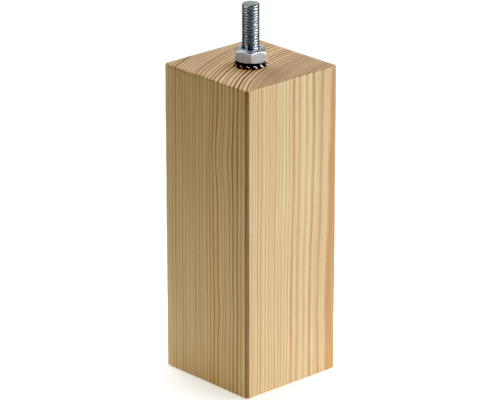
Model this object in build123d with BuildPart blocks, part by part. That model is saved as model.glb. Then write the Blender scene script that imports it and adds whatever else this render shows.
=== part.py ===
from build123d import *
import os
from math import cos, radians, sin, sqrt, tan

# Square pine furniture leg with a hanger bolt, a toothed lock washer and a hex nut.
# Millimetres. Z is up, the foot stands on z = 0, and the bolt's axis is the Z axis.

# Wooden block
SECTION = 68.0  # side of the square section
HEIGHT = 180.0  # foot to top face
ARRIS_CHAMFER = 1.7  # taken off each long edge
END_EASE = 0.8  # taken off the edges around both ends

# Hanger bolt, M10
THREAD_DIAMETER = 10.0
THREAD_PITCH = 1.5
STUD_RISE = 35.0  # from the wood to the end of the bolt
STUD_END_CHAMFER = 0.4
SHANK_DEPTH = 8.0  # plain shank sunk in the wood
WOOD_END_DIAMETER = 8.8  # wood screw, halfway up its thread
WOOD_END_LENGTH = 47.0
WOOD_POINT_LENGTH = 10.0
HOLE_RUNOUT = 2.5  # drilled deeper than the bolt goes
DRILL_POINT_ANGLE = 118.0

# Toothed lock washer
WASHER_PLAY = 0.5  # bore over thread
WASHER_RING_WIDTH = 1.55
WASHER_THICKNESS = 0.9
TOOTH_COUNT = 14
TOOTH_WIDTH = 2.5
TOOTH_REACH = 2.5  # outside the ring
TOOTH_ROOT = 0.6  # inside the ring
TOOTH_TWIST = 28.0

# Hex nut
NUT_WALL = 3.5  # thread crest to flat
NUT_HEIGHT = 8.0
NUT_FACE_INSET = 1.4  # from the flats to the round bearing face
NUT_CHAMFER_ANGLE = 30.0
NUT_COUNTERSINK = 0.7
NUT_TURN = 17.3  # a corner's angle from the X axis

# A 60 degree metric thread: mating threads are drawn at the pitch diameter.
thread_height = THREAD_PITCH * sqrt(3) / 2
thread_crest = THREAD_DIAMETER / 2
thread_mid = thread_crest - thread_height * 3 / 8

# The washer stands on the wood and the nut on the washer.
twist = radians(TOOTH_TWIST)
washer_height = TOOTH_WIDTH * sin(twist) + WASHER_THICKNESS * cos(twist)
washer_middle = HEIGHT + washer_height / 2
nut_seat = HEIGHT + washer_height
nut_top = nut_seat + NUT_HEIGHT

# Levels along the bolt, from its end down to its point
stud_end = HEIGHT + STUD_RISE
shank_end = HEIGHT - SHANK_DEPTH
point_start = shank_end - WOOD_END_LENGTH
point_end = point_start - WOOD_POINT_LENGTH
wood_end_radius = WOOD_END_DIAMETER / 2

# The drilled hole follows the shank and the wood screw and ends in a drill point.
drill_end = point_end - HOLE_RUNOUT
drill_tip = drill_end - wood_end_radius / tan(radians(DRILL_POINT_ANGLE / 2))

with BuildPart() as leg_block:
    with BuildSketch():
        Rectangle(SECTION, SECTION)
        chamfer(vertices(), length=ARRIS_CHAMFER)
    extrude(amount=HEIGHT)
    chamfer(faces().filter_by(Axis.Z).edges(), length=END_EASE)
    with BuildSketch(Plane.XZ):
        with BuildLine():
            Polyline(
                (0, HEIGHT),
                (thread_mid, HEIGHT),
                (thread_mid, shank_end),
                (wood_end_radius, shank_end),
                (wood_end_radius, drill_end),
                (0, drill_tip),
                close=True,
            )
        make_face()
    revolve(axis=Axis.Z, mode=Mode.SUBTRACT)
leg_block.part.label = "leg_block"

with BuildPart() as hanger_bolt:
    with BuildSketch(Plane.XZ):
        with BuildLine():
            Polyline(
                (0, point_end),
                (wood_end_radius, point_start),
                (wood_end_radius, shank_end),
                (thread_mid, shank_end),
                (thread_mid, nut_top),
                (thread_crest, nut_top),
                (thread_crest, stud_end - STUD_END_CHAMFER),
                (thread_crest - STUD_END_CHAMFER, stud_end),
                (0, stud_end),
                close=True,
            )
        make_face()
    revolve(axis=Axis.Z)
hanger_bolt.part.label = "hanger_bolt"

bore_radius = thread_crest + WASHER_PLAY / 2
ring_radius = bore_radius + WASHER_RING_WIDTH
tooth_start = ring_radius - TOOTH_ROOT
tooth_end = ring_radius + TOOTH_REACH

# One tooth along X, turned about its own length: one long edge bites the wood, the other the nut.
tooth_plane = Plane(
    origin=(0, 0, washer_middle), x_dir=(1, 0, 0), z_dir=(0, sin(twist), cos(twist))
)
with BuildPart() as tooth:
    with BuildSketch(tooth_plane):
        with Locations(((tooth_start + tooth_end) / 2, 0)):
            Rectangle(tooth_end - tooth_start, TOOTH_WIDTH)
    extrude(amount=WASHER_THICKNESS / 2, both=True)

with BuildPart() as tooth_lock_washer:
    with BuildSketch(Plane.XY.offset(washer_middle)):
        Circle(ring_radius)
        Circle(bore_radius, mode=Mode.SUBTRACT)
    extrude(amount=WASHER_THICKNESS / 2, both=True)
    with PolarLocations(0, TOOTH_COUNT):
        add(tooth.part)
tooth_lock_washer.part.label = "tooth_lock_washer"

flat_radius = thread_crest + NUT_WALL
face_radius = flat_radius - NUT_FACE_INSET
mouth_radius = thread_mid + NUT_COUNTERSINK
corner_radius = flat_radius / cos(radians(30))
corner_drop = (corner_radius - face_radius) * tan(radians(NUT_CHAMFER_ANGLE))

# The nut is a turned blank that reaches out to the corners, cut to a hexagon.
with BuildPart() as hex_nut:
    with BuildSketch(Plane.XZ):
        with BuildLine():
            Polyline(
                (thread_mid, nut_seat + NUT_COUNTERSINK),
                (mouth_radius, nut_seat),
                (face_radius, nut_seat),
                (corner_radius, nut_seat + corner_drop),
                (corner_radius, nut_top - corner_drop),
                (face_radius, nut_top),
                (mouth_radius, nut_top),
                (thread_mid, nut_top - NUT_COUNTERSINK),
                close=True,
            )
        make_face()
    revolve(axis=Axis.Z)
    with BuildSketch(Plane.XY.offset(nut_seat)):
        RegularPolygon(flat_radius, 6, major_radius=False, rotation=NUT_TURN)
    extrude(amount=NUT_HEIGHT, mode=Mode.INTERSECT)
hex_nut.part.label = "hex_nut"

os.makedirs("parts", exist_ok=True)
export_step(leg_block.part, "parts/leg_block.step")
export_step(hanger_bolt.part, "parts/hanger_bolt.step")
export_step(tooth_lock_washer.part, "parts/tooth_lock_washer.step")
export_step(hex_nut.part, "parts/hex_nut.step")
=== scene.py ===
from math import asin, ceil, cos, floor, pi, radians, sin, sqrt, tan
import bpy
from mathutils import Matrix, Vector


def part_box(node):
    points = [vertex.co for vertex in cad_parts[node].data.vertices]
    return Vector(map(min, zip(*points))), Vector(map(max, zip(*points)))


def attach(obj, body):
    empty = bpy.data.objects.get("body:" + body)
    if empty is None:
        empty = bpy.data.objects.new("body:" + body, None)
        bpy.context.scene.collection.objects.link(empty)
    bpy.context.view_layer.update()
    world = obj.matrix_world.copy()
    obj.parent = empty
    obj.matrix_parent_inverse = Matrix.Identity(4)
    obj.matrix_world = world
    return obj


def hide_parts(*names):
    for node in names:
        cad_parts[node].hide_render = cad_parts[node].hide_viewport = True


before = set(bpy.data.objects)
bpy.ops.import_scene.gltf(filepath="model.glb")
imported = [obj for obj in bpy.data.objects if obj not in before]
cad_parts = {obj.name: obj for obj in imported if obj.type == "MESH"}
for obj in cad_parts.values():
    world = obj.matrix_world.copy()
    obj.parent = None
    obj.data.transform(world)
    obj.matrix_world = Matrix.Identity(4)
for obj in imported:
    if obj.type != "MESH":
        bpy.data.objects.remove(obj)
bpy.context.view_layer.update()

from types import SimpleNamespace

import bmesh
import bpy
from mathutils import Matrix, Vector, noise

# Square pine furniture leg: solid wood with one ring pattern through all its faces, and M10 hardware.
# The frame is in metres. Sizes below are in millimetres and colours in display values (0 to 255),
# unless a comment says otherwise.

MM = 0.001


def box_mm(node):
    low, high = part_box(node)
    return low / MM, high / MM


BLOCK_HIGH = box_mm("leg_block")[1]
BOLT_LOW, BOLT_HIGH = box_mm("hanger_bolt")
WASHER_LOW, WASHER_HIGH = box_mm("tooth_lock_washer")
NUT_LOW, NUT_HIGH = box_mm("hex_nut")

# Meshes
SHARP_ANGLE = radians(40)  # edges sharper than this stay sharp in the shading
BLOCK_SHARP_ANGLE = radians(50)
MERGE_DISTANCE = 0.001

# Wooden block
HALF_SECTION = BLOCK_HIGH.x
BLOCK_HEIGHT = BLOCK_HIGH.z
ARRIS_CHAMFER = 1.7
ARRIS_ROUND = 0.24
ARRIS_ROUND_STEPS = 2
END_EASE = 0.8
END_EASE_ANGLES = (0.0, 0.35, 0.7, 1.0, 1.3, pi / 2)
SHANK_DEPTH = 8.0
HOLE_DEPTH = 67.5
HOLE_RADIUS = 4.4
DRILL_POINT = radians(59)
DRILL_TIP_RADIUS = 0.2
SIDE_STEPS = 24
HEIGHT_STEPS = 60
CAP_STEPS = 12

# How the chamfer's width strays along each arris: a long wave and a weaker short one, from a noise field
ARRIS_WANDER = 0.18
ARRIS_LONG_WAVE = 21
ARRIS_SHORT_WAVE = 6
ARRIS_SHORT_SHARE = 0.5
ARRIS_NOISE_STEP = 7.3  # from one arris to the next in the noise field
ARRIS_NOISE_ROW = 5.0  # from the long wave to the short one

# Machine thread, M10 coarse
THREAD_CREST = BOLT_HIGH.x
THREAD_PITCH = 1.5
THREAD_DEPTH = 0.92
THREAD_FIT = 0.03  # nut thread over bolt thread
THREAD_SUNK = 1.0  # the thread starts this far below the wood's face
THREAD_FLANK = radians(30)
THREAD_CREST_HALF = 0.1  # half the width of the crest
THREAD_CREST_ROUND = 0.26
# Where the thread's profile has points, from the middle of a crest to the middle of the root
THREAD_PROFILE = (0.0, 0.05, 0.1, 0.15, 0.2, 0.26, 0.34, 0.46, 0.63, 0.75)
THREAD_PHASE = -0.42  # turns, so that a crest leaves the nut on the side that the photograph shows
STUD_END_CHAMFER = 0.4
STUD_END_ROUND = 0.05
NUT_THREAD_STEP = THREAD_PITCH / 16
BOLT_SEGMENTS = 84

# Wood screw end of the bolt
SHANK_RADIUS = 4.51
SHANK_END = BLOCK_HEIGHT - SHANK_DEPTH
SHANK_SHOULDER = 0.4  # height of the step from the wood screw to the shank
WOOD_THREAD_CREST = 4.95
WOOD_THREAD_CORE = 3.6
WOOD_THREAD_PITCH = 4.5
WOOD_RIDGE_SHARE = 0.38  # of the pitch
WOOD_POINT_LENGTH = 11.0
WOOD_TIP_SHARE = 0.06  # of the full radius
WOOD_STEP = 0.3

# Hex nut
NUT_SIDES = 6
NUT_FLAT = 8.5  # from the axis to a flat
NUT_FACE = 7.1  # radius of the round faces
NUT_TURN = radians(17.3)
NUT_MOUTH = 5.21  # radius of the countersinks
NUT_CHAMFER = radians(30)
NUT_CHAMFER_STEPS = 10
NUT_SIDE_LEVELS = (1 / 3, 1 / 2, 2 / 3)  # of the height
NUT_CORNER_ROUND = 0.13
NUT_EDGE_ROUND = 0.1
NUT_CORNER_STEPS = (-1.6, -1.0, -0.5, 0.0, 0.5, 1.0, 1.6)  # degrees about each corner
NUT_FLAT_STEPS = 9

# Toothed lock washer
WASHER_BORE = 5.25
WASHER_RING = 6.8
WASHER_REACH = 9.3
WASHER_THICKNESS = 0.9
WASHER_EDGE = 0.09
WASHER_EDGE_STEPS = 2
WASHER_EDGE_ANGLE = radians(50)  # edges sharper than this are bevelled
TOOTH_COUNT = 14
TOOTH_WIDTH = 2.5
TOOTH_ACROSS_STEPS = 4
TOOTH_ALONG_STEPS = 8
TOOTH_ROOT = 6.9  # rows of points are spread from here to the end of a tooth
TOOTH_TWIST = radians(28)
TWIST_START = 6.4
TWIST_END = 7.3

# Growth rings: the pith lies outside the block, beyond its right face.
PITH_X = 120.3
PITH_Y = 45.8
HEART_FADE = (87.8, 88.6)  # the broad tan band round the pith fades out between these radii
WIDE_YEARS = 101.0  # inside this radius the rings are wide
WIDE_FADE = 5.0
# Radii and the ring's number at each: wide rings, then a run of slow years, then faster growth
GROWTH = ((80.3, -3), (86.3, 0), (98.3, 6), (116.4, 20), (146.5, 32), (180.0, 46))
# Good and bad years past the wide ones: how soon they set in, changes per millimetre, size in rings
YEARS_SET_IN = 7.0
YEARS_RATE = 0.4
YEARS_SHIFT = 0.4
# How far the rings stray: a steady lean, and noise from slow to quick
TRUNK_LEAN = 0.35
TRUNK_SWAY = 0.6
RING_WANDER = 0.42
RING_RIPPLE = 0.14
# Swellings of the grain, as round a hidden twig: centre, spread and push outwards
SWELLINGS = (
    ((13.0, -34.0, 138.0), (9.0, 16.0, 17.0), 1.5),
    ((15.0, -34.0, 48.0), (8.0, 14.0, 12.0), -0.9),
    ((34.0, 22.0, 65.0), (45.0, 40.0, 48.0), 0.3),
)

# Noise in the materials: features per millimetre across the Z axis and along it, detail and roughness
SWAY_NOISE = (1 / 70, 1 / 110, 1.0, 0.5)
WANDER_NOISE = (1 / 14, 1 / 42, 2.0, 0.5)
RIPPLE_NOISE = (1 / 3.5, 1 / 45, 1.0, 0.5)
PATCH_NOISE = (1 / 15, 1 / 70, 1.0, 0.5)
FIBRE_NOISE = (2.2, 0.055, 3.0, 0.6)
STREAK_NOISE = (0.4, 0.01, 2.0, 0.5)
VEIN_NOISE = (1.0, 0.013, 1.0, 0.5)
CLOUD_NOISE = (0.03, 0.013, 2.0, 0.5)
CANAL_NOISE = (2.8, 0.18, 0.0, 0.5)
ZINC_CLOUD_NOISE = (0.3, 0.3, 2.0, 0.5)
ZINC_SPECK_NOISE = (4.0, 4.0, 3.0, 0.65)
SPRING_SPECK_NOISE = (3.0, 3.0, 3.0, 0.6)
FLOOR_NOISE = (0.003, 0.003, 2.0, 0.5)

# Latewood: where its band starts and peaks and where its sharp line starts, as shares of a ring's width.
# A ring's own chance and the wide years move these places.
CHANCE_SEED = 0.37
DEPTH_SEED = 71.9
LATE_START = 0.3
LATE_START_CHANCE = 0.3
LATE_START_WIDE = -0.2
LATE_PEAK = 0.88
LATE_PEAK_WIDE = -0.24
LINE_START = 0.45
LINE_START_CHANCE = 0.12
LINE_START_WIDE = 0.02
LINE_FULL = 0.84
LINE_FADE = 0.9
# How dark it is: years between these radii are strong, the wide ones calm, and each ring has its own depth
LATE_STRENGTH = 0.74
LATE_STRONG = 0.26
STRONG_FROM = (105.0, 117.0)
STRONG_TO = (136.0, 150.0)
CALM_YEARS = (91.0, 95.0, 0.06, -0.14)  # two radii and what is added at each
LEAST_DEPTH = 0.62
PATCH_RANGE = (0.3, 0.6, 0.75, 1.0)  # two values of the noise and the factor at each
LATE_IN_HEART = 0.5

# Side grain
EARLY_PALE = (233, 212, 173)
EARLY_TAN = (228, 202, 157)
EARLY_PINK = (231, 200, 163)
EARLY_CREAM = (238, 218, 177)
LATE_AMBER = (200, 160, 109)
LATE_BROWN = (183, 147, 104)
HEART_TAN = (217, 170, 125)
HEART_SHARE = 0.75
PINK_SHARE = 0.45
PINK_SHARE_WIDE = 0.45
CREAM_RANGE = (60.0, 130.0, 0.25, 1.0)  # two heights and the cream's share at each

# End grain
END_SLOPE = (0.5, 0.85)  # how far a face looks along the trunk
END_PALE = (213, 187, 158)
END_TAN = (203, 175, 143)
END_LINE = (98, 68, 41)
END_STRENGTH = 0.84
END_STRONG = 0.16
END_WIDE = 0.5
END_EVEN = 0.55
# Where the ring lines fade out and come back: two radii and the change between them
END_LINE_STEPS = ((96.5, 98.5, -0.8), (102.0, 108.0, 0.8), (149.0, 154.0, -0.5), (162.0, 165.0, 0.5))
# Slow changes of brightness: two radii and the factor at each
END_TONES = ((103.0, 128.0, 0.76, 1.0), (95.0, 99.0, 1.16, 1.0), (132.0, 154.0, 1.03, 0.88))

# Tone of the wood's surface, and of the arrises, which are painted darker and browner all round
FIBRE_TONE = 0.10
STREAK_TONE = 0.07
VEIN_TONE = 0.12
FINE_YEARS_TONE = 0.16
FINE_YEARS_RATE = 1.1
CANAL_TONE = -0.12
CANAL_RANGE = (0.70, 0.78)
ARRIS_SLOPE = (0.2, 0.45)  # product of the normal's X and Y
ARRIS_SHADE = 0.38
ARRIS_BROWN = (178, 142, 134)
ARRIS_TINT = 0.3

# Roughness, relief and shine of the wood
WOOD_ROUGHNESS = 0.58
FIBRE_ROUGHNESS = 0.08
LATE_ROUGHNESS = -0.1
END_ROUGHNESS = 0.14
RING_RELIEF = 0.03
FIBRE_RELIEF = 0.025
WOOD_SPECULAR = 0.35

# Zinc plating: roughness, metallic share on the sides and on faces that look up, edge tint, dark and light.
# The roughness stays well above 0.27, because smoother metal left dark specks in the denoised picture.
THREAD_ZINC = (0.33, 1.0, 0.5, (158, 163, 168), (177, 183, 188), (188, 193, 197))
NUT_ZINC = (0.35, 0.84, 0.42, (255, 255, 255), (193, 201, 210), (201, 207, 214))
ZINC_CLOUD_ROUGHNESS = 0.03
ZINC_SPECK_ROUGHNESS = 0.02
UPWARD_SLOPE = (0.92, 0.98)  # of the normal's Z

# Spring steel
SPRING_DARK = (165, 168, 172)
SPRING_PALE = (185, 188, 191)
# Painted glint: the colour of the tooth ends, and the radii over which they are painted paler
SPRING_PAINTED_GLINT = (222, 224, 226)
PAINTED_GLINT_RANGE = (WASHER_REACH - 0.3, WASHER_REACH - 0.05)
SPRING_ROUGHNESS = 0.42
SPRING_SPECK_ROUGHNESS = 0.06
SPRING_RELIEF = 0.008
SPRING_METALLIC = 0.45

# Camera, fitted to the block's edges in the photograph
CAMERA_AZIMUTH = radians(47.43)
CAMERA_ELEVATION = radians(20.53)
CAMERA_DISTANCE = 1858.4
CAMERA_AIM_HEIGHT = 100.4
CAMERA_AIM_RIGHT = -0.33
CAMERA_LENS = 240.0
CAMERA_SENSOR = 36.0

# Floor, with a faint glow in place of the light that a white ground throws back
FLOOR_RADIUS = 9000.0
FLOOR_SEGMENTS = 96
FLOOR_DARK = (240, 243, 247)
FLOOR_LIGHT = (243, 245, 249)
FLOOR_ROUGHNESS = 0.9
FLOOR_SPECULAR = 0.1
FLOOR_GLOW = 0.48
FLOOR_GLOW_COLOUR = (1.0, 0.985, 0.95, 1.0)  # linear
FLOOR_GLOW_REACH = (70.0, 280.0)
FLOOR_GLOW_Y = -55.0  # its middle lies before the left face, where this painted glow fills the block's shadow on the floor

# Room: a dim one with a brighter backdrop in one direction, in degrees from +X and up
ROOM_COLOUR = (1.0, 0.95, 0.85, 1.0)  # linear
ROOM_DIM = 0.1
ROOM_BACKDROP = 0.5
BACKDROP_BEARING = (145, 22)
BACKDROP_FADE = (0.55, 0.97)  # cosines of the angle to that direction

# Lights: name, degrees from +X and up, then distance, width and height in metres, and watts.
# Lamps light surfaces without being mirrored, and cards are seen only in reflections.
LAMPS = (
    ("key", 32, 13, 1.9, 0.9, 1.0, 16.7),
    ("rear_left", 175, 38, 1.6, 0.9, 0.8, 6),
    ("rear_right", 93, 50, 1.6, 0.7, 0.7, 8),
    ("overhead", 137, 70, 1.4, 1.2, 1.2, 12.5),
)
CARDS = (
    ("front_card", -103, 3, 1.2, 0.6, 0.5, 0.8),
    ("left_card", 179, 57, 1.6, 0.3, 0.9, 1.7),
    ("crest_card", -111, 32, 1.6, 0.6, 0.5, 9),
    ("high_card", -43, 47, 1.6, 1.0, 0.8, 1.1),
    ("key_card", 32, 26, 1.8, 0.95, 0.6, 68),
)
BLACK_POINT = 0.1  # light below this level is black in the picture


def srgb(colour):
    """A display colour as the linear colour that a shader takes, by the sRGB curve."""
    shares = [value / 255 for value in colour]
    linear = [s / 12.92 if s <= 0.04045 else ((s + 0.055) / 1.055) ** 2.4 for s in shares]
    return (*linear, 1.0)


def smoothstep(low, high, value):
    """A smooth step from 0 at the low limit to 1 at the high one."""
    share = min(max((value - low) / (high - low), 0.0), 1.0)
    return share * share * (3 - 2 * share)


def soft_min(a, b, width):
    """The smaller of two radii, rounded over where they cross."""
    share = min(max(0.5 + (b - a) / (2 * width), 0.0), 1.0)
    return b + (a - b) * share - width * share * (1 - share)


class Graph:
    """Short names for making and linking shader nodes."""

    def __init__(self, tree):
        self.tree = tree

    def node(self, kind, inputs, **settings):
        made = self.tree.nodes.new(kind)
        for key, value in settings.items():
            setattr(made, key, value)
        for key, value in inputs.items():
            self.put(made.inputs[key], value)
        return made

    def put(self, socket, value):
        if isinstance(value, bpy.types.NodeSocket):
            self.tree.links.new(value, socket)
        else:
            socket.default_value = value

    def math(self, operation, *values):
        return self.node("ShaderNodeMath", dict(enumerate(values)), operation=operation).outputs[0]

    def add(self, *values):
        total = values[0]
        for value in values[1:]:
            total = self.math("ADD", total, value)
        return total

    def times(self, first, second):
        return self.math("MULTIPLY", first, second)

    def weigh(self, base, *parts):
        """A base plus each value times its weight."""
        return self.add(base, *(self.times(value, weight) for value, weight in parts))

    def vector(self, operation, first, second):
        return self.node("ShaderNodeVectorMath", {0: first, 1: second}, operation=operation)

    def stretch(self, vector, scale):
        return self.vector("MULTIPLY", vector, scale).outputs[0]

    def axes(self, vector):
        return self.node("ShaderNodeSeparateXYZ", {0: vector}).outputs

    def place(self):
        """The point on the object, in millimetres."""
        coordinates = self.node("ShaderNodeTexCoord", {}).outputs["Object"]
        return self.stretch(coordinates, (1 / MM,) * 3)

    def true_normal(self):
        return self.node("ShaderNodeNewGeometry", {}).outputs["True Normal"]

    def length(self, x, y):
        return self.math("SQRT", self.add(self.math("POWER", x, 2.0), self.math("POWER", y, 2.0)))

    def pattern(self, place, across, along, detail, roughness):
        """Smooth noise from 0 to 1, with so many features per millimetre across the Z axis and along it."""
        vector = self.stretch(place, (across, across, along))
        inputs = {"Vector": vector, "Scale": 1.0, "Detail": detail, "Roughness": roughness}
        return self.node("ShaderNodeTexNoise", inputs).outputs["Fac"]

    def drift(self, value):
        """Smooth noise from 0 to 1 along a line."""
        inputs = {"W": value, "Scale": 1.0, "Detail": 1.0}
        return self.node("ShaderNodeTexNoise", inputs, noise_dimensions="1D").outputs["Fac"]

    def chance(self, value, seed):
        """A random number that changes with each whole value."""
        made = self.node("ShaderNodeTexWhiteNoise", {"W": self.add(value, seed)}, noise_dimensions="1D")
        return made.outputs["Value"]

    def ramp(self, value, low, high, to_low=0.0, to_high=1.0, shape="SMOOTHSTEP"):
        """A step between two limits, smooth unless another shape is asked for."""
        inputs = {"Value": value, "From Min": low, "From Max": high, "To Min": to_low, "To Max": to_high}
        return self.node("ShaderNodeMapRange", inputs, interpolation_type=shape).outputs[0]

    def swing(self, noise_value, size):
        """Noise moved to lie about zero, with the given peak size."""
        return self.times(self.math("SUBTRACT", noise_value, 0.5), 2 * size)

    def blend(self, factor, first, second):
        """A mix of two colours. The sockets go by number, because their names repeat."""
        made = self.node("ShaderNodeMix", {}, data_type="RGBA")
        for index, value in ((0, factor), (6, first), (7, second)):
            self.put(made.inputs[index], value)
        return made.outputs[2]

    def brighten(self, colour, factor):
        return self.node("ShaderNodeVectorMath", {0: colour, "Scale": factor}, operation="SCALE").outputs[0]

    def bump(self, height, distance, normal=None):
        inputs = {"Height": height, "Distance": distance, "Strength": 1.0}
        if normal is not None:
            inputs["Normal"] = normal
        return self.node("ShaderNodeBump", inputs).outputs[0]


def new_material(name):
    material = bpy.data.materials.new(name)
    material.use_nodes = True
    return material, Graph(material.node_tree)


def finish_material(material, graph, **inputs):
    shader = material.node_tree.nodes["Principled BSDF"]
    for key, value in inputs.items():
        graph.put(shader.inputs[key.replace("_", " ")], value)
    return material


def grain_radius(graph, place):
    """Distance from the pith, with the slow lean, the small wander and the swellings of a grown trunk."""
    x, y, z = graph.axes(place)
    radius = graph.length(graph.math("SUBTRACT", x, PITH_X), graph.math("SUBTRACT", y, PITH_Y))
    lean = graph.ramp(z, 0.0, BLOCK_HEIGHT, -TRUNK_LEAN, TRUNK_LEAN, "LINEAR")
    sway = graph.swing(graph.pattern(place, *SWAY_NOISE), TRUNK_SWAY)
    wander = graph.swing(graph.pattern(place, *WANDER_NOISE), RING_WANDER)
    ripple = graph.swing(graph.pattern(place, *RIPPLE_NOISE), RING_RIPPLE)
    radius = graph.add(radius, lean, sway, wander, ripple)
    for centre, spread, push in SWELLINGS:
        offset = graph.vector("SUBTRACT", place, centre).outputs[0]
        offset = graph.vector("DIVIDE", offset, spread).outputs[0]
        squared = graph.vector("DOT_PRODUCT", offset, offset).outputs[1]
        near = graph.math("EXPONENT", graph.times(squared, -1.0))
        radius = graph.add(radius, graph.times(near, -push))
    return radius


def ring_count(graph, radius):
    """The ring's number at a radius, with its fraction: the growth table, and good and bad years."""
    count = GROWTH[0][1]
    for (inner, first), (outer, last) in zip(GROWTH, GROWTH[1:]):
        count = graph.add(count, graph.ramp(radius, inner, outer, 0.0, last - first, "LINEAR"))
    uneven = graph.ramp(radius, WIDE_YEARS, WIDE_YEARS + YEARS_SET_IN)
    years = graph.swing(graph.drift(graph.times(radius, YEARS_RATE)), YEARS_SHIFT)
    return graph.add(count, graph.times(years, uneven))


def pine_rings(graph, place, radius):
    """What the rings give at a point: bands and sharp lines of latewood, and how the years differ."""
    count = ring_count(graph, radius)
    ring = graph.math("FLOOR", count)
    share = graph.math("FRACT", count)
    chance = graph.chance(ring, CHANCE_SEED)
    depth = graph.chance(ring, DEPTH_SEED)
    wide = graph.ramp(radius, WIDE_YEARS, WIDE_YEARS + WIDE_FADE, 1.0, 0.0)

    late_start = graph.weigh(LATE_START, (chance, LATE_START_CHANCE), (wide, LATE_START_WIDE))
    late_peak = graph.weigh(LATE_PEAK, (wide, LATE_PEAK_WIDE))
    late_end = graph.ramp(share, late_peak, 1.0, 1.0, 0.0)
    band = graph.times(graph.ramp(share, late_start, late_peak), late_end)
    line_start = graph.weigh(LINE_START, (chance, LINE_START_CHANCE), (wide, LINE_START_WIDE))
    line_end = graph.ramp(share, LINE_FADE, 1.0, 1.0, 0.0)
    line = graph.times(graph.ramp(share, line_start, LINE_FULL), line_end)

    strong = graph.math("SUBTRACT", graph.ramp(radius, *STRONG_FROM), graph.ramp(radius, *STRONG_TO))
    calm = graph.times(wide, graph.ramp(radius, *CALM_YEARS))
    strength = graph.add(LATE_STRENGTH, calm, graph.times(strong, LATE_STRONG))
    patch = graph.ramp(graph.pattern(place, *PATCH_NOISE), *PATCH_RANGE)
    uneven = graph.times(graph.weigh(LEAST_DEPTH, (depth, 1 - LEAST_DEPTH)), patch)
    heart = graph.ramp(radius, *HEART_FADE, 1.0, 0.0)
    late = graph.times(band, graph.times(strength, uneven))
    late = graph.math("MAXIMUM", late, graph.times(heart, LATE_IN_HEART))
    return SimpleNamespace(
        chance=chance, depth=depth, wide=wide, strong=strong,
        uneven=uneven, heart=heart, late=late, line=line,
    )


def side_grain_colour(graph, place, rings, cloud):
    """The sides: pale, pink and cream years, bands of latewood and the tan heart."""
    early = graph.blend(cloud, srgb(EARLY_PALE), srgb(EARLY_TAN))
    pink = graph.times(rings.depth, graph.weigh(PINK_SHARE, (rings.wide, PINK_SHARE_WIDE)))
    early = graph.blend(pink, early, srgb(EARLY_PINK))
    cream = graph.times(rings.wide, graph.math("SUBTRACT", 1.0, rings.depth))
    cream = graph.times(cream, graph.ramp(graph.axes(place)[2], *CREAM_RANGE))
    early = graph.blend(cream, early, srgb(EARLY_CREAM))
    late = graph.blend(rings.chance, srgb(LATE_AMBER), srgb(LATE_BROWN))
    colour = graph.blend(rings.late, early, late)
    return graph.blend(graph.times(rings.heart, HEART_SHARE), colour, srgb(HEART_TAN))


def end_lines(graph, radius):
    """How clearly the end grain shows its ring lines, which fade through the plain years."""
    return graph.add(1.0, *(graph.ramp(radius, low, high, 0.0, step) for low, high, step in END_LINE_STEPS))


def end_grain_colour(graph, radius, rings, cloud, clearness):
    """The top and the foot: tan wood with the rings as dark lines."""
    early = graph.blend(cloud, srgb(END_PALE), srgb(END_TAN))
    strength = graph.weigh(END_STRENGTH, (rings.strong, END_STRONG), (rings.wide, END_WIDE))
    strength = graph.times(strength, graph.weigh(END_EVEN, (rings.uneven, 1 - END_EVEN)))
    strength = graph.times(strength, clearness)
    colour = graph.blend(graph.times(rings.line, strength), early, srgb(END_LINE))
    for tone in END_TONES:
        colour = graph.brighten(colour, graph.ramp(radius, *tone))
    return colour


def pine_material():
    """Solid pine: rings round the pith, pale earlywood that darkens to a sharp line of latewood."""
    material, graph = new_material("pine")
    place = graph.place()
    facing = [graph.math("ABSOLUTE", axis) for axis in graph.axes(graph.true_normal())]
    end_grain = graph.ramp(facing[2], *END_SLOPE)
    on_arris = graph.ramp(graph.times(facing[0], facing[1]), *ARRIS_SLOPE)
    radius = grain_radius(graph, place)
    rings = pine_rings(graph, place, radius)
    clearness = end_lines(graph, radius)
    cloud = graph.pattern(place, *CLOUD_NOISE)
    sides = side_grain_colour(graph, place, rings, cloud)
    ends = end_grain_colour(graph, radius, rings, cloud, clearness)
    colour = graph.blend(end_grain, sides, ends)

    # Fibres run up the block; on the end grain the same fibres show as fine dots.
    fibre = graph.pattern(place, *FIBRE_NOISE)
    streak = graph.pattern(place, *STREAK_NOISE)
    vein = graph.pattern(place, *VEIN_NOISE)
    canal = graph.ramp(graph.pattern(place, *CANAL_NOISE), *CANAL_RANGE)
    fine_years = graph.swing(graph.drift(graph.times(radius, FINE_YEARS_RATE)), FINE_YEARS_TONE)
    tone = graph.add(
        1.0,
        graph.swing(fibre, FIBRE_TONE),
        graph.swing(streak, STREAK_TONE),
        graph.swing(vein, VEIN_TONE),
        graph.times(fine_years, graph.add(1.0, graph.times(end_grain, clearness))),
        graph.times(canal, CANAL_TONE),
    )
    # The arrises are painted darker and browner, by how much the surface faces along a diagonal
    tone = graph.times(tone, graph.weigh(1.0, (on_arris, -ARRIS_SHADE)))
    colour = graph.brighten(colour, tone)
    colour = graph.blend(graph.times(on_arris, ARRIS_TINT), colour, srgb(ARRIS_BROWN))

    rough = graph.weigh(WOOD_ROUGHNESS, (rings.late, LATE_ROUGHNESS), (end_grain, END_ROUGHNESS))
    rough = graph.add(rough, graph.swing(fibre, FIBRE_ROUGHNESS))
    relief = graph.bump(rings.late, RING_RELIEF * MM)
    relief = graph.bump(fibre, FIBRE_RELIEF * MM, relief)
    return finish_material(
        material, graph, Base_Color=colour, Roughness=rough, Normal=relief, Specular_IOR_Level=WOOD_SPECULAR
    )


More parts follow.
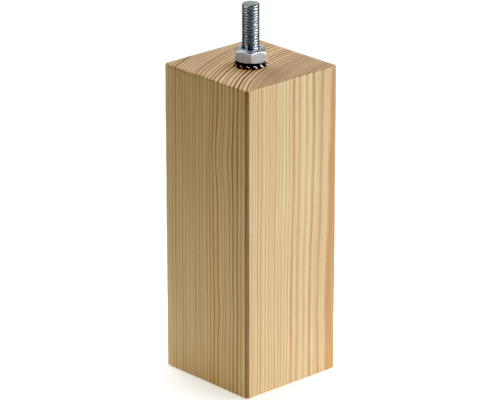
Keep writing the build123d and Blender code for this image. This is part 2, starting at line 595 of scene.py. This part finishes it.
def zinc_material(name, roughness, metallic, end_metallic, edge_tint, dark, light):
    """Zinc plating: smooth and bluish, with soft clouds, and duller on the faces that look up."""
    material, graph = new_material(name)
    place = graph.place()
    cloud = graph.pattern(place, *ZINC_CLOUD_NOISE)
    speck = graph.pattern(place, *ZINC_SPECK_NOISE)
    colour = graph.blend(cloud, srgb(dark), srgb(light))
    clouds = graph.swing(cloud, ZINC_CLOUD_ROUGHNESS)
    rough = graph.add(roughness, clouds, graph.swing(speck, ZINC_SPECK_ROUGHNESS))
    upward = graph.ramp(graph.axes(graph.true_normal())[2], *UPWARD_SLOPE)
    shine = graph.ramp(upward, 0.0, 1.0, metallic, end_metallic, "LINEAR")
    return finish_material(
        material, graph, Base_Color=colour, Roughness=rough, Metallic=shine, Specular_Tint=srgb(edge_tint)
    )


def spring_steel_material():
    """Dull hardened spring steel, with a painted glint: the ends of its teeth are painted paler."""
    material, graph = new_material("spring_steel")
    place = graph.place()
    x, y, _ = graph.axes(place)
    # Painted glint: the last part of each tooth is painted paler
    painted_glint = graph.ramp(graph.length(x, y), *PAINTED_GLINT_RANGE)
    speck = graph.pattern(place, *SPRING_SPECK_NOISE)
    colour = graph.blend(speck, srgb(SPRING_DARK), srgb(SPRING_PALE))
    colour = graph.blend(painted_glint, colour, srgb(SPRING_PAINTED_GLINT))
    rough = graph.add(SPRING_ROUGHNESS, graph.swing(speck, SPRING_SPECK_ROUGHNESS))
    relief = graph.bump(speck, SPRING_RELIEF * MM)
    return finish_material(
        material, graph, Base_Color=colour, Roughness=rough, Normal=relief, Metallic=SPRING_METALLIC
    )


def mesh_object(name, bm, material, sharp_angle=SHARP_ANGLE):
    """A finished object from a bmesh in millimetres, smooth except at edges sharper than the angle."""
    bmesh.ops.recalc_face_normals(bm, faces=bm.faces)
    mesh = bpy.data.meshes.new(name)
    bm.to_mesh(mesh)
    bm.free()
    mesh.transform(Matrix.Scale(MM, 4))
    mesh.polygons.foreach_set("use_smooth", [True] * len(mesh.polygons))
    mesh.set_sharp_from_angle(angle=sharp_angle)
    mesh.materials.append(material)
    made = bpy.data.objects.new(name, mesh)
    bpy.context.scene.collection.objects.link(made)
    return made


def at_height(height):
    return Vector((0.0, 0.0, height))


def skin(bm, rows):
    """Faces between rings of points."""
    for lower, upper in zip(rows, rows[1:]):
        for i in range(len(lower)):
            j = (i + 1) % len(lower)
            bm.faces.new((lower[i], lower[j], upper[j], upper[i]))


def cap(bm, row):
    """Closes a ring of points with a fan."""
    centre = bm.verts.new(sum((v.co for v in row), Vector()) / len(row))
    for i in range(len(row)):
        bm.faces.new((row[i], row[(i + 1) % len(row)], centre))


def helical_skin(bm, columns, turn):
    """Faces between upright columns of points; the last column meets the first one a turn further up."""
    for i, column in enumerate(columns):
        beside = columns[i + 1] if i + 1 < len(columns) else columns[0][turn:]
        for k in range(min(len(column), len(beside)) - 1):
            bm.faces.new((column[k], beside[k], beside[k + 1], column[k + 1]))


def lofted(loops, closed=False):
    """A skin over loops with the same number of points: its ends are closed, or joined to each other."""
    bm = bmesh.new()
    rows = [[bm.verts.new(point) for point in loop] for loop in loops]
    if closed:
        skin(bm, rows + rows[:1])
    else:
        skin(bm, rows)
        cap(bm, rows[0])
        cap(bm, rows[-1])
    return bm


def rounded_polygon(corners, radius, steps):
    """The polygon's outline with each corner rounded by a small arc."""
    points = []
    for i, corner in enumerate(corners):
        before = (corners[i - 1] - corner).normalized()
        after = (corners[(i + 1) % len(corners)] - corner).normalized()
        half = before.angle(after) / 2
        reach = radius / tan(half)
        centre = corner + (before + after).normalized() * (radius / sin(half))
        first = corner + before * reach - centre
        last = corner + after * reach - centre
        for k in range(steps + 1):
            points.append(centre + first.slerp(last, k / steps) * radius)
    return points


def arris_cut(index, inset, height):
    """How much is cut off along each face at an arris. An inset outline has a narrower chamfer."""
    column = ARRIS_NOISE_STEP * index
    long_wave = noise.noise(Vector((column, 0.0, height / ARRIS_LONG_WAVE)))
    short_wave = noise.noise(Vector((column, ARRIS_NOISE_ROW, height / ARRIS_SHORT_WAVE)))
    stray = long_wave + ARRIS_SHORT_SHARE * short_wave
    return ARRIS_CHAMFER + ARRIS_WANDER * stray - inset * (2 - sqrt(2))


def block_outline(inset, height):
    """One level of the block: a square with chamfered arrises, whose width strays a little."""
    half = HALF_SECTION - inset
    signs = [(1, -1), (1, 1), (-1, 1), (-1, -1)]
    corners = []
    for index, (sx, sy) in enumerate(signs):
        cut = arris_cut(index, inset, height)
        along_x = Vector((sx * (half - cut), sy * half))
        along_y = Vector((sx * half, sy * (half - cut)))
        corners += [along_x, along_y] if sx * sy < 0 else [along_y, along_x]
    outline = rounded_polygon(corners, ARRIS_ROUND, ARRIS_ROUND_STEPS)
    per_corner = len(outline) // len(signs)
    points = []
    for side in range(len(signs)):
        run = outline[side * per_corner:(side + 1) * per_corner]
        points += run
        start = run[-1]
        end = outline[(side + 1) * per_corner % len(outline)]
        points += [start.lerp(end, k / SIDE_STEPS) for k in range(1, SIDE_STEPS)]
    return [Vector((p.x, p.y, height)) for p in points]


def pine_block(material):
    """The block, from the middle of its foot up the sides, over the top and down the drilled hole."""
    loops = []
    eased = [(END_EASE * (1 - sin(a)), END_EASE * (1 - cos(a))) for a in END_EASE_ANGLES]
    foot = block_outline(END_EASE, 0.0)
    for k in range(1, CAP_STEPS):
        loops.append([Vector((p.x * k / CAP_STEPS, p.y * k / CAP_STEPS, 0.0)) for p in foot])
    loops += [block_outline(inset, rise) for inset, rise in eased]
    for k in range(1, HEIGHT_STEPS):
        height = END_EASE + (BLOCK_HEIGHT - 2 * END_EASE) * k / HEIGHT_STEPS
        loops.append(block_outline(0.0, height))
    loops += [block_outline(inset, BLOCK_HEIGHT - rise) for inset, rise in reversed(eased)]

    rim = loops[-1]
    around = [Vector((p.x, p.y, 0.0)).normalized() for p in rim]
    mouth = [way * SHANK_RADIUS + at_height(BLOCK_HEIGHT) for way in around]
    for k in range(1, CAP_STEPS + 1):
        loops.append([outer.lerp(inner, k / CAP_STEPS) for outer, inner in zip(rim, mouth)])
    hole = (
        (SHANK_RADIUS, SHANK_DEPTH),
        (HOLE_RADIUS, SHANK_DEPTH),
        (HOLE_RADIUS, HOLE_DEPTH),
        (DRILL_TIP_RADIUS, HOLE_DEPTH + (HOLE_RADIUS - DRILL_TIP_RADIUS) / tan(DRILL_POINT)),
    )
    for radius, depth in hole:
        loops.append([way * radius + at_height(BLOCK_HEIGHT - depth) for way in around])
    return mesh_object("pine_block", lofted(loops), material, BLOCK_SHARP_ANGLE)


def thread_radius(angle, height):
    """The machine thread: rounded crests, straight flanks and flat roots, on a right-hand helix."""
    turn = height / THREAD_PITCH - angle / (2 * pi) + THREAD_PHASE
    away = abs(turn - floor(turn) - 0.5) * THREAD_PITCH
    flank = THREAD_CREST - (away - THREAD_CREST_HALF) / tan(THREAD_FLANK)
    return max(soft_min(flank, THREAD_CREST, THREAD_CREST_ROUND), THREAD_CREST - THREAD_DEPTH)


def wood_thread_radius(angle, height, tip):
    """The wood screw: a thin ridge on a core that runs out to a point."""
    turn = height / WOOD_THREAD_PITCH - angle / (2 * pi)
    away = abs(turn - floor(turn) - 0.5) * 2
    ridge = (WOOD_THREAD_CREST - WOOD_THREAD_CORE) * max(0.0, 1 - away / WOOD_RIDGE_SHARE)
    rise = (height - tip) / WOOD_POINT_LENGTH
    taper = min(1.0, WOOD_TIP_SHARE + (1 - WOOD_TIP_SHARE) * rise)
    return (WOOD_THREAD_CORE + ridge) * taper


def hanger_bolt(material):
    """The bolt from its point up: wood screw, plain shank, machine thread and chamfered end."""
    tip, end = BOLT_LOW.z, BOLT_HIGH.z
    angles = [2 * pi * i / BOLT_SEGMENTS for i in range(BOLT_SEGMENTS)]
    thread_start = BLOCK_HEIGHT - THREAD_SUNK
    wood_levels = ceil((SHANK_END - tip) / WOOD_STEP)
    levels = [tip + (SHANK_END - tip) * k / wood_levels for k in range(wood_levels + 1)]
    levels += [SHANK_END + SHANK_SHOULDER, thread_start]
    first_turn = floor(thread_start / THREAD_PITCH) - 1
    last_turn = ceil(end / THREAD_PITCH) + 1
    below = [0.5 - away / THREAD_PITCH for away in reversed(THREAD_PROFILE[:-1])]
    above = [0.5 + away / THREAD_PITCH for away in THREAD_PROFILE[1:]]
    shares = below + above
    turns = [turn + share for turn in range(first_turn, last_turn) for share in shares]

    def radius(angle, height):
        if height <= SHANK_END:
            return wood_thread_radius(angle, height, tip)
        if height <= thread_start:
            return SHANK_RADIUS
        run_in = smoothstep(thread_start, thread_start + THREAD_PITCH, height)
        cut = SHANK_RADIUS + (thread_radius(angle, height) - SHANK_RADIUS) * run_in
        return soft_min(cut, THREAD_CREST - STUD_END_CHAMFER + (end - height), STUD_END_ROUND)

    bm = bmesh.new()

    def point(angle, height):
        reach = radius(angle, height)
        return bm.verts.new((reach * cos(angle), reach * sin(angle), height))

    rows = [[point(a, z) for a in angles] for z in levels]
    skin(bm, rows)
    cap(bm, rows[0])
    columns = []
    for a in angles:
        heights = [(turn - THREAD_PHASE + a / (2 * pi)) * THREAD_PITCH for turn in turns]
        columns.append([point(a, min(max(z, thread_start), end)) for z in heights])
    helical_skin(bm, columns, len(shares))
    cap(bm, [column[-1] for column in columns])
    bmesh.ops.remove_doubles(bm, verts=bm.verts, dist=MERGE_DISTANCE)
    return mesh_object("threaded_hanger_bolt", bm, material)


def hex_nut(material):
    """The nut: a rounded hexagon between two conical chamfers, with a countersunk thread."""
    seat, top = NUT_LOW.z, NUT_HIGH.z
    side_angle = 360 / NUT_SIDES
    past_corner = NUT_CORNER_STEPS[-1]
    flat_step = (side_angle - 2 * past_corner) / NUT_FLAT_STEPS
    across = tuple(past_corner + flat_step * k for k in range(1, NUT_FLAT_STEPS))
    angles = [
        NUT_TURN + radians(side * side_angle + step)
        for side in range(NUT_SIDES) for step in NUT_CORNER_STEPS + across
    ]
    corner = NUT_FLAT / cos(pi / NUT_SIDES)

    def from_end(height):
        return min(height - seat, top - height)

    def outside(angle, height):
        off_flat = (angle - NUT_TURN) % (2 * pi / NUT_SIDES) - pi / NUT_SIDES
        side = soft_min(NUT_FLAT / cos(off_flat), corner - NUT_CORNER_ROUND / 2, NUT_CORNER_ROUND)
        return soft_min(side, NUT_FACE + from_end(height) / tan(NUT_CHAMFER), NUT_EDGE_ROUND)

    def inside(angle, height):
        return max(thread_radius(angle, height) + THREAD_FIT, NUT_MOUTH - from_end(height))

    def on_face(angle, height):
        return (NUT_FACE + NUT_MOUTH) / 2

    def loop(radius_at, height):
        radii = [radius_at(a, height) for a in angles]
        return [Vector((r * cos(a), r * sin(a), height)) for r, a in zip(radii, angles)]

    drop = (corner - NUT_FACE) * tan(NUT_CHAMFER)
    chamfer = [drop * k / NUT_CHAMFER_STEPS for k in range(NUT_CHAMFER_STEPS + 1)]
    outer = [seat + d for d in chamfer]
    outer += [seat + (top - seat) * level for level in NUT_SIDE_LEVELS]
    outer += [top - d for d in reversed(chamfer)]
    steps = ceil((top - seat) / NUT_THREAD_STEP)
    inner = [top - (top - seat) * k / steps for k in range(steps + 1)]
    loops = [loop(outside, z) for z in outer]
    loops.append(loop(on_face, top))
    loops += [loop(inside, z) for z in inner]
    loops.append(loop(on_face, seat))
    return mesh_object("zinc_hex_nut", lofted(loops, closed=True), material)


def flat_washer(bm, step):
    """The underside of the washer before its teeth are twisted: a ring, and teeth that are cut free."""
    level = at_height(-WASHER_THICKNESS / 2)
    across = [TOOTH_WIDTH * (k / TOOTH_ACROSS_STEPS - 0.5) for k in range(TOOTH_ACROSS_STEPS + 1)]
    spread = [asin(t / WASHER_RING) for t in across] + [step / 2]
    rings = []
    for radius in (WASHER_BORE, (WASHER_BORE + WASHER_RING) / 2, WASHER_RING):
        angles = [tooth * step + angle for tooth in range(TOOTH_COUNT) for angle in spread]
        rings.append([bm.verts.new(Vector((cos(a), sin(a), 0.0)) * radius + level) for a in angles])
    skin(bm, rings)
    row_step = (WASHER_REACH - TOOTH_ROOT) / TOOTH_ALONG_STEPS
    for tooth in range(TOOTH_COUNT):
        turn = Matrix.Rotation(tooth * step, 4, "Z")
        first = tooth * len(spread)
        rows = [rings[-1][first:first + len(across)]]
        for k in range(1, TOOTH_ALONG_STEPS + 1):
            reach = TOOTH_ROOT + row_step * k
            rows.append([bm.verts.new(turn @ (Vector((reach, t, 0.0)) + level)) for t in across])
        for lower, upper in zip(rows, rows[1:]):
            for k in range(TOOTH_ACROSS_STEPS):
                bm.faces.new((lower[k], lower[k + 1], upper[k + 1], upper[k]))


def toothed_washer(material):
    """A flat ring with teeth, bevelled, whose teeth are then twisted so that they bite both ways."""
    bm = bmesh.new()
    step = 2 * pi / TOOTH_COUNT
    flat_washer(bm, step)
    raised = bmesh.ops.extrude_face_region(bm, geom=list(bm.faces), use_keep_orig=True)
    for part in raised["geom"]:
        if isinstance(part, bmesh.types.BMVert):
            part.co.z += WASHER_THICKNESS
    bmesh.ops.recalc_face_normals(bm, faces=bm.faces)
    sharp = [e for e in bm.edges if len(e.link_faces) == 2 and e.calc_face_angle() > WASHER_EDGE_ANGLE]
    bmesh.ops.bevel(
        bm, geom=sharp, offset=WASHER_EDGE, segments=WASHER_EDGE_STEPS, profile=0.5, affect="EDGES",
        clamp_overlap=True,
    )
    level = (WASHER_LOW.z + WASHER_HIGH.z) / 2
    for vert in bm.verts:
        from_axis = vert.co.to_2d()
        centre = round(from_axis.angle_signed(Vector((1.0, 0.0))) / step) * step
        twist = TOOTH_TWIST * smoothstep(TWIST_START, TWIST_END, from_axis.length)
        local = Matrix.Rotation(-centre, 4, "Z") @ vert.co
        local = Matrix.Rotation(-twist, 4, "X") @ local
        vert.co = Matrix.Rotation(centre, 4, "Z") @ local + at_height(level)
    return mesh_object("toothed_lock_washer", bm, material)


def floor_stage():
    """A wide pale floor that glows faintly near the block: painted light that fills the block's shadow."""
    material, graph = new_material("pale_floor")
    place = graph.place()
    mottle = graph.pattern(place, *FLOOR_NOISE)
    x, y, _ = graph.axes(place)
    from_middle = graph.length(x, graph.math("SUBTRACT", y, FLOOR_GLOW_Y))
    finish_material(
        material,
        graph,
        Base_Color=graph.blend(mottle, srgb(FLOOR_DARK), srgb(FLOOR_LIGHT)),
        Roughness=FLOOR_ROUGHNESS,
        Specular_IOR_Level=FLOOR_SPECULAR,
        Emission_Color=FLOOR_GLOW_COLOUR,
        Emission_Strength=graph.ramp(from_middle, *FLOOR_GLOW_REACH, FLOOR_GLOW, 0.0),
    )
    bm = bmesh.new()
    bmesh.ops.create_circle(bm, cap_ends=True, segments=FLOOR_SEGMENTS, radius=FLOOR_RADIUS)
    made = mesh_object("floor", bm, material)


def aim(thing, target):
    thing.rotation_mode = "QUATERNION"
    thing.rotation_quaternion = (target - thing.location).to_track_quat("-Z", "Y")


def camera():
    """The photograph's point of view: an azimuth about the block's axis and an elevation."""
    data = bpy.data.cameras.new("camera")
    data.lens = CAMERA_LENS
    data.sensor_width = CAMERA_SENSOR
    made = bpy.data.objects.new("camera", data)
    bpy.context.scene.collection.objects.link(made)
    right = Vector((cos(CAMERA_AZIMUTH), sin(CAMERA_AZIMUTH), 0.0))
    away = Vector((
        sin(CAMERA_AZIMUTH) * cos(CAMERA_ELEVATION),
        -cos(CAMERA_AZIMUTH) * cos(CAMERA_ELEVATION),
        sin(CAMERA_ELEVATION),
    ))
    target = (at_height(CAMERA_AIM_HEIGHT) + right * CAMERA_AIM_RIGHT) * MM
    made.location = target + away * CAMERA_DISTANCE * MM
    aim(made, target)
    bpy.context.scene.camera = made


def bearing(azimuth, elevation):
    """A direction from degrees round from +X and degrees up."""
    a, e = radians(azimuth), radians(elevation)
    return Vector((cos(a) * cos(e), sin(a) * cos(e), sin(e)))


def softbox(name, azimuth, elevation, distance, width, height, watts):
    """A rectangular light, with sizes in metres, that looks at the block's middle."""
    data = bpy.data.lights.new(name, "AREA")
    data.shape = "RECTANGLE"
    data.size = width
    data.size_y = height
    data.energy = watts
    made = bpy.data.objects.new(name, data)
    bpy.context.scene.collection.objects.link(made)
    target = at_height(BLOCK_HEIGHT * MM / 2)
    made.location = target + bearing(azimuth, elevation) * distance
    aim(made, target)
    return made


def room():
    """A dim room with a brighter backdrop behind the block."""
    world = bpy.data.worlds.new("studio")
    bpy.context.scene.world = world
    world.use_nodes = True
    graph = Graph(world.node_tree)
    direction = graph.node("ShaderNodeTexCoord", {}).outputs["Generated"]
    towards = graph.vector("DOT_PRODUCT", direction, bearing(*BACKDROP_BEARING)).outputs[1]
    level = graph.ramp(towards, *BACKDROP_FADE, ROOM_DIM, ROOM_BACKDROP)
    background = world.node_tree.nodes["Background"]
    graph.put(background.inputs["Color"], ROOM_COLOUR)
    graph.put(background.inputs["Strength"], level)


def lighting():
    """A key light from the right, lamps behind and above, and the cards that the metal mirrors."""
    for lamp in LAMPS:
        softbox(*lamp).visible_glossy = False
    for card in CARDS:
        softbox(*card).visible_diffuse = False


def picture():
    """Plain display colours with the black point raised."""
    settings = bpy.context.scene.view_settings
    settings.view_transform = "Standard"
    settings.use_curve_mapping = True
    settings.curve_mapping.black_level = (BLACK_POINT,) * 3
    settings.curve_mapping.update()


def dress(piece, node):
    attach(piece, "root")
    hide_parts(node)


dress(pine_block(pine_material()), "leg_block")
dress(hanger_bolt(zinc_material("zinc_thread", *THREAD_ZINC)), "hanger_bolt")
dress(hex_nut(zinc_material("zinc_nut", *NUT_ZINC)), "hex_nut")
dress(toothed_washer(spring_steel_material()), "tooth_lock_washer")
floor_stage()
camera()
room()
lighting()
picture()
